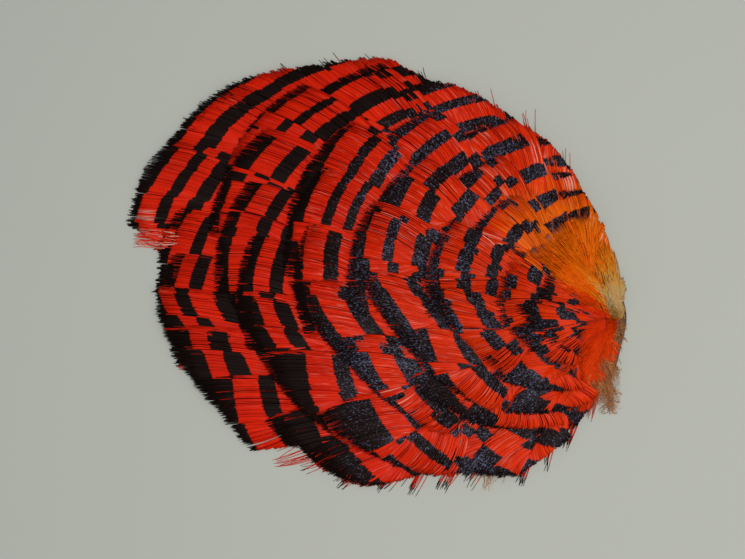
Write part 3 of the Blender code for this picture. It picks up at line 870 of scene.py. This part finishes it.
def grow_feather(name, cad_node, feather, seed, angle):
    """Barbs and shaft of one feather on its CAD plate."""
    rng = np.random.default_rng(seed)
    row = feather["row"]
    lean, bars = lean_of(row, angle), bars_of(*seed)
    barb_material = dyed_barb_material(f"dyed keratin barbs {cad_node}", bars)
    tip_line = TIP + 0.2 if row == 1 else TIP - 5.0
    upper = upper_triangles(cad_node)
    count = BARBS_A_SIDE[row]
    batches = []
    for side in (-1, 1):
        barbs = barb_paths(feather, side, count, rng, lean, tip_line)
        share = barbs["u"]
        lift = 0.03 * rng.standard_normal(count)[:, None] * (0.3 + share)
        droop = TIP_DROOP[row] * soft_step((share - 0.55) / 0.45)
        camber = 0.10 * (barbs["t"] / feather["half"]) ** 2 + droop
        z = height_on(upper, barbs["points"]) - 0.02 + lift - camber
        path = np.concatenate([barbs["points"], z[..., None]], axis=-1)
        width = BARB_WIDTH[row] * (1.0 + 0.12 * rng.standard_normal(count))[:, None]
        width = width * (1.0 - 0.60 * share ** 8) * (0.55 + 0.45 * soft_step(share * 5.0))
        # A random tone for each barb, partly shared in threes; in the finish the lowest tones are painted
        # shade lines between barbs.
        tone = 0.5 * rng.random(count) + 0.5 * rng.random(count)[np.arange(count) // 3]
        # Pale locks raise the tone above 1: thinly dyed barbs at the outline, painted highlights nearer
        # the gather point.
        pale = pale_and_glint_share(barbs["points"], rng.random(count))
        tone = tone[:, None] + (2.0 - tone[:, None]) * pale
        batches.append(strands(
            path, width, BARB_ROLL * rng.standard_normal(count), RIDGE,
            edge_mm=barbs["edge"], tone=tone, dye=dye_at(barbs["points"], rng),
            melanin=melanin_at(barbs["points"]), pinch=barbs["pinch"]))
    s, path = shaft_path(feather, upper)
    sunk, widest = LOW_SHAFT if row < TOP_ROWS_FROM else TOP_SHAFT
    path[:, 2] -= sunk
    thick = widest * (1.0 - 0.80 * s / s.max())
    edge = feather["length"] - s
    batches.append(strands(path[None], thick[None], np.zeros(1), ROUND, material=1,
                           edge_mm=edge[None], dye=dye_at(path[None, :, :2], rng)))
    piece = strand_piece(name, batches, [barb_material, QUILL])
    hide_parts(cad_node)
    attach(piece, "root")
    return piece


ORANGE_FEATHERS = {(3, 1), (4, 1), (5, 1), (5, 2), (6, 1), (7, 1)}
grown_faces = 0
for row, tips in ROWS.items():
    for number, (angle, reach) in enumerate(tips, start=1):
        slot = "orange_vane" if (row, number) in ORANGE_FEATHERS else "red_vane"
        piece = grow_feather(f"row{row}_vane_{number:02d}", f"row{row}_feather_{number:02d}",
                             plan_feather(row, angle, reach), [row, number], angle)
        grown_faces += len(piece.data.polygons)
for number, ((angle, reach), slot) in enumerate(zip(SIDE, ("cream_vane", "red_vane")), start=1):
    piece = grow_feather(f"side_vane_{number}", f"side_feather_{number}",
                         plan_feather(SIDE_ROW, angle, reach), [SIDE_ROW, number], angle)
    grown_faces += len(piece.data.polygons)
print("faces of all vanes:", grown_faces)


# %% [markdown]
# ## Down
# Under the vanes grow soft feathers with no stiff vane at all: limp barbs that curl every way. Dye
# made them a dull red brown. They are grown like the others, but each strand wanders on a smooth
# random curve in all three directions, and is much thinner.

# %% Down barbs
def down_material():
    """Dyed down: thin matt barbs."""
    made, tree, shader = new_material("dyed down")
    tone, dye = (node(tree, "Attribute", attribute_name=number) for number in ("tone", "dye"))
    dark = node(tree, "ValToRGB", {"Fac": tone}, [
        (0.0, linear("#5a2c12")), (0.5, linear("#a25a2a")), (1.0, linear("#dc9450"))])
    colour = node(tree, "Mix", {0: dye, 6: dark, 7: linear("#eea05c")}, **MIXED)
    fill(tree, shader, {"Base Color": colour, "Roughness": 0.7, "IOR": KERATIN_IOR})
    return made


DYED_DOWN = down_material()


DOWN_WIDTH = 0.10
DOWN_QUILL_WIDTH = 0.22
DOWN_WANDER = 0.35
DOWN_BARBS_A_SIDE = (200, 120)


def wander(count, stations, rng, waves=3):
    """Smooth random curve that starts at 0: a sum of sine waves along u, each with a random size
    and phase, less its value at the start."""
    u = np.linspace(0.0, 1.0, stations)
    total = np.zeros((count, stations))
    for wave in range(1, waves + 1):
        size = rng.standard_normal((count, 1)) / wave
        phase = rng.random((count, 1)) * 2.0 * math.pi
        total += size * (np.sin(2.0 * math.pi * 0.8 * wave * u + phase) - np.sin(phase))
    return total


def grow_down(name, cad_node, feather, count, seed):
    """Limp barbs all along the shaft of a down feather, within its CAD plate's outline."""
    rng = np.random.default_rng(seed)
    upper = upper_triangles(cad_node)
    length, half, stations = feather["length"], feather["half"], 10
    u = np.linspace(0.0, 1.0, stations)
    batches = []
    for side in (-1, 1):
        grown = rng.random(count)
        s0 = (0.15 + 0.78 * grown) * length
        wide = half_vane(feather, np.minimum(1.0, s0 / length + 0.25))
        wide = wide * (0.15 + 0.85 * rng.random(count)) * (1.10 - 0.75 * grown)
        forward = (0.06 + 0.14 * rng.random(count)) * length
        last = length * (0.80 + 0.19 * rng.random(count))
        forward = np.minimum(forward, np.maximum(last - s0, 0.02 * length))
        s = s0[:, None] + forward[:, None] * u + DOWN_WANDER * wander(count, stations, rng)
        t = wide[:, None] * np.sin(0.5 * math.pi * u) + DOWN_WANDER * wander(count, stations, rng)
        s = np.minimum(s, length - 0.1)
        plan = on_feather(feather, s, side * t)
        z = height_on(upper, plan) - 0.15 + DOWN_WANDER * np.abs(wander(count, stations, rng)) * 0.5
        z = np.maximum(z, 0.06)
        path = np.concatenate([plan, z[..., None]], axis=-1)
        width = np.full((count, stations), DOWN_WIDTH) * (1.0 - 0.6 * u)
        batches.append(strands(path, width, rng.random(count) * 3.0, RIDGE,
                               tone=rng.random(count)[:, None], dye=0.8 * u[None, :] ** 2))
    s, path = shaft_path(feather, upper)
    thick = np.full((1, len(s)), DOWN_QUILL_WIDTH)
    batches.append(strands(path[None], thick, np.zeros(1), ROUND, tone=0.3))
    piece = strand_piece(name, batches, [DYED_DOWN])
    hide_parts(cad_node)
    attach(piece, "root")
    return piece


for number, (angle, reach, half) in enumerate(DOWN, start=1):
    down = grow_down(f"down_{number}", f"down_feather_{number}", plan_feather(0, angle, reach, half),
                     DOWN_BARBS_A_SIDE[number - 1], [0, number])
    print(down.name, "faces:", len(down.data.polygons))


# %% [markdown]
# ## Stray barbs
# A tippet that has been handled sheds its order at the edge: single barbs and small bunches stick
# out past the outline, some with the black tip still on them. Where the short feathers are
# gathered, long loose barbs run together to one point and hide the quill ends, cream at the root
# and orange or red farther out. The skin's own end is covered with short brown fluff. All of these
# are bunches: each is placed one by one, and its barbs are scattered about its middle direction and
# laid on top of what is there.

# %% Loose barbs
EDGE_BUNCHES = [
    # tip angle, tip reach, its spread, length, turn from the radius, its spread, count,
    # black at the tip in mm, dye, tone, sunk at the root in mm
    (170.3, 92.2, 0.6, 7.0, 4, 1.0, 40, 0.0, 0.0, 1.6, 0.0),
    (169.2, 91.6, 0.5, 7.0, 4, 1.0, 20, 0.0, 0.0, 0.8, 0.0),
    (203.2, 69.5, 0.7, 15.0, -4, 3.0, 14, 0.0, 0.0, 0.7, 0.8),
    (205.5, 66.0, 1.0, 13.0, 0, 4.0, 8, 0.8, 0.0, 0.6, 0.8),
    (211.5, 61.0, 0.6, 10.0, 6, 3.0, 20, 1.2, 0.0, 0.5, 0.8),
    (216.5, 55.0, 0.5, 9.0, 12, 4.0, 22, 1.2, 0.0, 0.5, 0.8),
    (220.0, 51.2, 0.8, 10.0, 22, 4.0, 18, 1.2, 0.0, 0.6, 0.8),
    (224.5, 46.2, 0.8, 9.0, 16, 4.0, 20, 1.4, 0.0, 0.6, 0.8),
    (228.0, 42.0, 1.0, 8.0, 8, 4.0, 14, 1.4, 0.0, 0.5, 0.8),
    (240.0, 36.0, 0.8, 8.0, 10, 4.0, 16, 1.4, 0.0, 0.5, 0.8),
    (250.0, 26.5, 1.0, 9.0, 4, 4.0, 16, 1.4, 0.1, 0.5, 0.8),
    (134.0, 69.2, 1.3, 6.0, -6, 2.5, 14, 2.0, 0.0, 0.5, 0.6),
    (139.0, 74.6, 1.3, 6.0, -6, 2.5, 14, 2.0, 0.0, 0.5, 0.6),
    (144.0, 80.0, 1.3, 6.0, -5, 2.5, 16, 2.2, 0.0, 0.5, 0.6),
    (149.5, 86.6, 1.0, 6.0, -4, 2.5, 12, 2.0, 0.0, 0.5, 0.6),
    (153.5, 88.8, 1.0, 6.0, -3, 2.5, 12, 2.2, 0.0, 0.5, 0.6),
    (128.0, 61.0, 1.2, 6.0, -8, 3.0, 12, 1.6, 0.0, 0.5, 0.6),
    (121.0, 51.0, 1.6, 14.0, -12, 2.5, 16, 0.0, 0.1, 0.9, 0.5),
    (114.5, 43.2, 1.8, 15.0, -12, 2.5, 18, 0.0, 0.2, 1.0, 0.4),
    (109.0, 34.6, 2.0, 15.0, -10, 2.5, 22, 0.0, 0.4, 1.1, 0.3),
    (103.5, 25.0, 2.0, 15.0, -9, 2.5, 30, 0.0, 0.7, 1.1, 0.2),
    (98.0, 17.0, 2.2, 13.0, -8, 2.5, 34, 0.0, 1.0, 0.9, 0.1),
    (246.0, 31.5, 0.8, 12.0, 10, 3.0, 8, 1.6, 0.0, 0.6, 0.8),
]
GATHERED_BUNCHES = [
    # root x and y, tip angle, spread of the angle, tip reach, count, dye at the tip, cream up to
    (1.7, 1.2, 92.0, 5.0, 13.5, 70, 1.25, 11.0),
    (1.6, 1.0, 100.0, 6.0, 16.0, 90, 1.15, 12.0),
    (1.5, 0.9, 112.0, 8.0, 20.0, 110, 1.0, 12.0),
    (1.3, 0.7, 126.0, 9.0, 22.0, 120, 0.95, 10.5),
    (1.1, 0.4, 140.0, 7.0, 21.0, 90, 0.8, 6.5),
    (0.8, 0.1, 151.0, 4.0, 15.0, 40, 0.45, 3.0),
    (0.4, -0.2, 165.0, 10.0, 4.5, 30, 0.0, 1.0),
    (0.2, -0.6, 206.0, 9.0, 8.0, 50, 0.25, 1.0),
    (0.1, -1.0, 228.0, 10.0, 18.0, 110, 0.3, 1.0),
    (0.1, -1.2, 243.0, 8.0, 19.0, 110, 0.35, 1.0),
    (0.1, -1.4, 254.0, 5.0, 20.0, 100, 0.4, 1.0),
]
SKIN_FLUFF = [
    # root x and y, scatter, heading, spread of the heading, length, count
    (1.5, -1.2, 0.4, -20.0, 50.0, 1.0, 60), (1.2, -3.0, 0.5, -50.0, 50.0, 1.2, 60),
    (0.6, -4.6, 0.5, -70.0, 45.0, 1.4, 50), (-1.6, -8.2, 0.6, -58.0, 16.0, 3.4, 90),
    (-3.2, -12.0, 0.7, -70.0, 18.0, 3.4, 100),
]


def loose_barb_material():
    """Single dyed barbs: red to orange to cream keratin, with a black tip where the bar was."""
    made, tree, shader = new_material("dyed keratin single barbs")
    edge, tone, dye = (
        node(tree, "Attribute", attribute_name=number) for number in ("edge_mm", "tone", "dye"))
    share = node(tree, "Math", {0: dye, 1: 0.5}, operation="MULTIPLY")
    dyed = node(tree, "ValToRGB", {"Fac": share}, [
        (0.0, linear("#d62002")), (0.25, linear("#dc3e00")), (0.5, linear("#e26400")),
        (0.75, linear("#d48a26")), (1.0, linear("#bc9a6c"))])
    streak = node(tree, "ValToRGB", {"Fac": tone}, [
        (0.0, (0.55, 0.45, 0.45, 1.0)), (0.35, (0.95, 0.9, 0.9, 1.0)), (1.0, (1.05, 1.3, 1.2, 1.0))])
    shaded = node(tree, "Mix", {0: 1.0, 6: dyed, 7: streak}, **MULTIPLIED)
    thin = node(tree, "Math", {0: tone, 1: 1.0}, operation="SUBTRACT", use_clamp=True)
    red = node(tree, "Mix", {0: thin, 6: shaded, 7: linear("#f2c4b0")}, **MIXED)
    tip = node(tree, "Math", {0: edge, 1: 0.0}, operation="LESS_THAN")
    colour = node(tree, "Mix", {0: tip, 6: red, 7: linear("#0d0605")}, **MIXED)
    fill(tree, shader, {"Base Color": colour, "Roughness": 0.5, "IOR": KERATIN_IOR,
                        "Specular IOR Level": 0.04})
    return made


LOOSE_BARBS = loose_barb_material()
EDGE_BARB_WIDTH = 0.15
GATHERED_BARB_WIDTH = 0.20
FLUFF_WIDTH = 0.12
OVER_TABLE = 0.14


def bowed(root, tip, bow, u):
    """Straight line from root to tip plus a sideways bow of 4 u (1 - u)."""
    chord = tip - root
    across = np.stack([-chord[:, 1], chord[:, 0]], axis=-1)
    arch = (4.0 * u * (1.0 - u))[None, :, None]
    return root[:, None] + chord[:, None] * u[:, None] + bow[:, None, None] * across[:, None] * arch


def laid(plan, lift):
    """Plan paths at the height of the pile top, or just over the table, plus a lift."""
    z = np.maximum(pile_top(plan) + lift, OVER_TABLE)
    return np.concatenate([plan, z[..., None]], axis=-1)


def edge_bunch(rng, u, angle, reach, spread, length, turn, turn_spread, count, black, dyed, tone, sunk):
    """Barbs that end past the outline."""
    tip_angle = angle + spread * rng.standard_normal(count)
    tip = polar(tip_angle, reach - 2.0 * rng.random(count))
    long = length * (0.7 + 0.4 * rng.random(count))
    root = tip - long[:, None] * polar(tip_angle + turn + turn_spread * rng.standard_normal(count), 1.0)
    plan = bowed(root, tip, 0.03 * rng.standard_normal(count), u)
    path = laid(plan, 0.05 + 0.08 * rng.random(count)[:, None] * u - sunk * (1.0 - u) ** 0.7)
    width = EDGE_BARB_WIDTH * np.broadcast_to(1.0 - 0.5 * u ** 4, (count, len(u)))
    edge = long[:, None] * (1.0 - u) - black * (0.6 + 0.8 * rng.random(count))[:, None] + 0.001
    return strands(path, width, rng.random(count) * 0.6, RIDGE, edge_mm=edge,
                   tone=tone * (0.4 + 0.8 * rng.random(count))[:, None], dye=dyed)


def gathered_bunch(rng, u, x, y, angle, spread, reach, count, dyed, cream):
    """Barbs that run together at the gathered end, cream within a few mm of it."""
    root = np.array([x, y]) + 0.35 * rng.standard_normal((count, 2))
    tip_angle = angle + spread * rng.uniform(-1.0, 1.0, count)
    tip = polar(tip_angle, reach * (0.45 + 0.55 * rng.random(count)))
    plan = bowed(root, tip, 0.03 * rng.standard_normal(count), u)
    path = laid(plan, 0.05 + 0.10 * rng.random(count)[:, None] * (1.0 - u))
    swell = (0.6 + 0.4 * np.sin(math.pi * u)) * (1.0 - 0.4 * u ** 4)
    width = GATHERED_BARB_WIDTH * np.broadcast_to(swell, (count, len(u)))
    reached = np.linalg.norm(plan, axis=-1)
    near = soft_step((cream + 1.2 * rng.standard_normal(count)[:, None] - reached) / CREAM_FADE)
    return strands(path, width, rng.random(count) * 0.6, RIDGE,
                   tone=0.35 + 0.5 * rng.random(count)[:, None], dye=dyed + (1.9 - dyed) * near)


def fluff_bunch(rng, u, x, y, scatter, heading, spread, length, count):
    """Short curled down on the skin's end."""
    root = np.array([x, y]) + scatter * rng.standard_normal((count, 2))
    long = length * (0.5 + 0.6 * rng.random(count))
    tip = root + long[:, None] * polar(heading + spread * rng.standard_normal(count), 1.0)
    plan = bowed(root, tip, 0.25 * rng.standard_normal(count), u)
    path = laid(plan, 0.02 + 0.5 * rng.random(count)[:, None] * np.sin(math.pi * u))
    width = FLUFF_WIDTH * np.broadcast_to(1.0 - 0.6 * u, (count, len(u)))
    return strands(path, width, rng.random(count) * 3.0, RIDGE,
                   tone=rng.random(count)[:, None], dye=0.5 * u[None, :])


def loose_piece(name, seed, grow, bunches, stations, material):
    """A piece of loose barbs, bunch by bunch, that rides on the tippet and replaces nothing."""
    rng = np.random.default_rng(seed)
    u = np.linspace(0.0, 1.0, stations)
    piece = strand_piece(name, [grow(rng, u, *bunch) for bunch in bunches], [material])
    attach(piece, "root")
    return piece


for loose in (
    loose_piece("edge_barbs", 31, edge_bunch, EDGE_BUNCHES, 10, LOOSE_BARBS),
    loose_piece("gathered_barbs", 32, gathered_bunch, GATHERED_BUNCHES, 10, LOOSE_BARBS),
    loose_piece("skin_fluff", 33, fluff_bunch, SKIN_FLUFF, 7, DYED_DOWN),
):
    print(loose.name, "faces:", len(loose.data.polygons))


# %% [markdown]
# ## The dried skin
# The patch that holds the quills is skin, dried in air and never tanned. It is stiff, matt and
# tan to brown, with small pits where quills grew and an edge that dried unevenly. It is made as two
# polar grids, top and bottom, joined at the rim: one function gives the height at each angle and
# share of the radius.

# %% Skin surface
SKIN_HALF_LENGTH = 8.5
SKIN_HALF_WIDTH = 12.0
SKIN_THICKNESS = 1.2
SKIN_TURNS, SKIN_RINGS = 144, 40
SKIN_POWER = 2.6


def skin_radius(angle):
    """Superellipse with the skin's power, its radius changed a little by two sine waves."""
    oval = (np.abs(np.cos(angle) / SKIN_HALF_LENGTH) ** SKIN_POWER
            + np.abs(np.sin(angle) / SKIN_HALF_WIDTH) ** SKIN_POWER) ** (-1.0 / SKIN_POWER)
    return oval * (1.0 + 0.035 * np.sin(3.0 * angle + 0.5) + 0.025 * np.sin(5.0 * angle + 1.2))


def skin_material():
    """Dried raw skin: matt, with fine pits about 0.6 mm apart."""
    made, tree, shader = new_material("air-dried skin")
    place = node(tree, "TexCoord").outputs["Object"]
    cloud = node(tree, "TexNoise", {"Vector": place, "Scale": 260.0, "Detail": 6.0})
    tan = node(tree, "ValToRGB", {"Fac": cloud}, [
        (0.32, linear("#3a2014")), (0.5, linear("#68442c")), (0.7, linear("#9a7450"))])
    pits = node(tree, "TexVoronoi", {"Vector": place, "Scale": 1500.0})
    # Each pit is darker in the colour: painted shade in the recess, besides the bump.
    painted_pit_shade = node(tree, "MapRange", {"Value": pits, 1: 0.05, 2: 0.35, 3: 0.6, 4: 1.0})
    colour = node(tree, "Mix", {0: 1.0, 6: tan, 7: painted_pit_shade}, **MULTIPLIED)
    rough = node(tree, "MapRange", {"Value": cloud, 3: 0.6, 4: 0.85})
    bump = node(tree, "Bump", {"Height": pits, "Strength": 0.5, "Distance": 0.0001})
    fill(tree, shader, {"Base Color": colour, "Roughness": rough, "IOR": 1.5, "Normal": bump})
    return made


def build_skin():
    """Top: thickness times (1 - share^8), wrinkled by sine waves that fade at the rim. Bottom:
    flat, a hair above the table between shallow wrinkles."""
    turn = np.linspace(0.0, 2.0 * math.pi, SKIN_TURNS, endpoint=False)[None, :]
    share = (np.arange(1, SKIN_RINGS + 1) / SKIN_RINGS)[:, None] ** 0.8
    radius = share * skin_radius(turn) * 0.995
    x, y = radius * np.cos(turn), radius * np.sin(turn)
    wrinkle = np.sin(1.9 * x + 0.7 * np.sin(1.1 * y)) * np.sin(1.3 * y + 0.9 * np.sin(0.8 * x + 1.0))
    fine = np.sin(6.1 * x + 2.0 * np.sin(2.3 * y)) * np.sin(5.3 * y + 1.7 * np.sin(1.9 * x))
    top = 0.15 + (SKIN_THICKNESS - 0.33) * (1.0 - share ** 8) + 0.10 * wrinkle + 0.04 * fine
    bottom = 0.03 * (1.0 + wrinkle) * (1.0 - share ** 6) + 0.12 * share ** 12
    rings_top = np.stack([x, y, top], axis=-1)
    rings_bottom = np.stack([x, y, bottom], axis=-1)
    places = np.concatenate([[[0.0, 0.0, top[0].mean()]], rings_top.reshape(-1, 3),
                             rings_bottom[::-1].reshape(-1, 3), [[0.0, 0.0, bottom[0].mean()]]])
    rings = 2 * SKIN_RINGS
    i, j = np.meshgrid(np.arange(rings - 1), np.arange(SKIN_TURNS), indexing="ij")
    after = (j + 1) % SKIN_TURNS
    quads = 1 + np.stack([i * SKIN_TURNS + j, (i + 1) * SKIN_TURNS + j,
                          (i + 1) * SKIN_TURNS + after, i * SKIN_TURNS + after], axis=-1).reshape(-1, 4)
    j = np.arange(SKIN_TURNS)
    after = (j + 1) % SKIN_TURNS
    last = 1 + (rings - 1) * SKIN_TURNS
    fan = [*np.stack([np.zeros_like(j), 1 + j, 1 + after], axis=-1).tolist(),
           *np.stack([np.full_like(j, len(places) - 1), last + after, last + j], axis=-1).tolist()]
    mesh = bpy.data.meshes.new("dried_skin")
    mesh.from_pydata((places * MM).tolist(), [], quads.tolist() + fan)
    mesh.polygons.foreach_set("use_smooth", np.ones(len(mesh.polygons), bool))
    mesh.materials.append(skin_material())
    skin = add_object("dried_skin", mesh)
    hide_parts("skin")
    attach(skin, "root")
    return skin


skin = build_skin()
print("skin faces:", len(skin.data.polygons))

# %% [markdown]
# ## Floor, light and camera
# The tippet lies on a plain pale surface, under soft light from above and a little flash from the
# camera's side, which is what makes the barbs glint. The camera looks down, a few degrees off
# plumb, from half a metre.

# %% Floor
floor_material, floor_tree, floor_shader = new_material("pale matt board")
floor_shader.inputs["Base Color"].default_value = linear("#b4b6ac")
floor_shader.inputs["Roughness"].default_value = 0.85
floor_mesh = bpy.data.meshes.new("floor")
floor_mesh.from_pydata([(-2, -2, 0), (2, -2, 0), (2, 2, 0), (-2, 2, 0)], [], [(0, 1, 2, 3)])
floor_mesh.materials.append(floor_material)
floor = add_object("floor", floor_mesh)

# %% Light
AIM = np.array([-39.2, 8.3, 3.0]) * MM


def area_light(name, place, size, watts, colour):
    """A square light that faces the middle of the tippet."""
    data = bpy.data.lights.new(name, "AREA")
    data.energy, data.size, data.color = watts, size, linear(colour)[:3]
    lamp = add_object(name, data)
    lamp.location = place
    direction = Vector(AIM) - lamp.location
    lamp.rotation_euler = direction.to_track_quat("-Z", "Y").to_euler()
    return lamp


area_light("window", (0.09, -0.07, 0.30), 0.26, 0.20, "#fffaf0")
area_light("flash", (0.06, -0.02, 0.50), 0.06, 1.30, "#ffffff")
world = bpy.data.worlds.new("room")
world.use_nodes = True
fill(world.node_tree, world.node_tree.nodes["Background"],
     {"Color": linear("#e9edf2"), "Strength": 0.40})
bpy.context.scene.world = world
bpy.context.scene.view_settings.view_transform = "Standard"

# %% Camera
TILT = math.radians(84.0)
DISTANCE = 0.500
LENS_MM, SENSOR_MM = 128.2, 36.0
camera_data = bpy.data.cameras.new("camera")
camera_data.lens = LENS_MM
camera_data.sensor_width = SENSOR_MM
camera_data.clip_start = 0.01
camera = add_object("camera", camera_data)
camera.location = Vector(AIM) + DISTANCE * Vector((0.0, -math.cos(TILT), math.sin(TILT)))
camera.rotation_euler = (math.pi / 2 - TILT, 0.0, 0.0)
bpy.context.scene.camera = camera

# %% Size of the finished object
pieces = [o for o in bpy.context.scene.objects if o.type == "MESH" and "OFBake" in o.data.uv_layers]
triangles = sum(len(o.data.loops) - 2 * len(o.data.polygons) for o in pieces)
print(len(pieces), "pieces of strands with", triangles, "triangles")
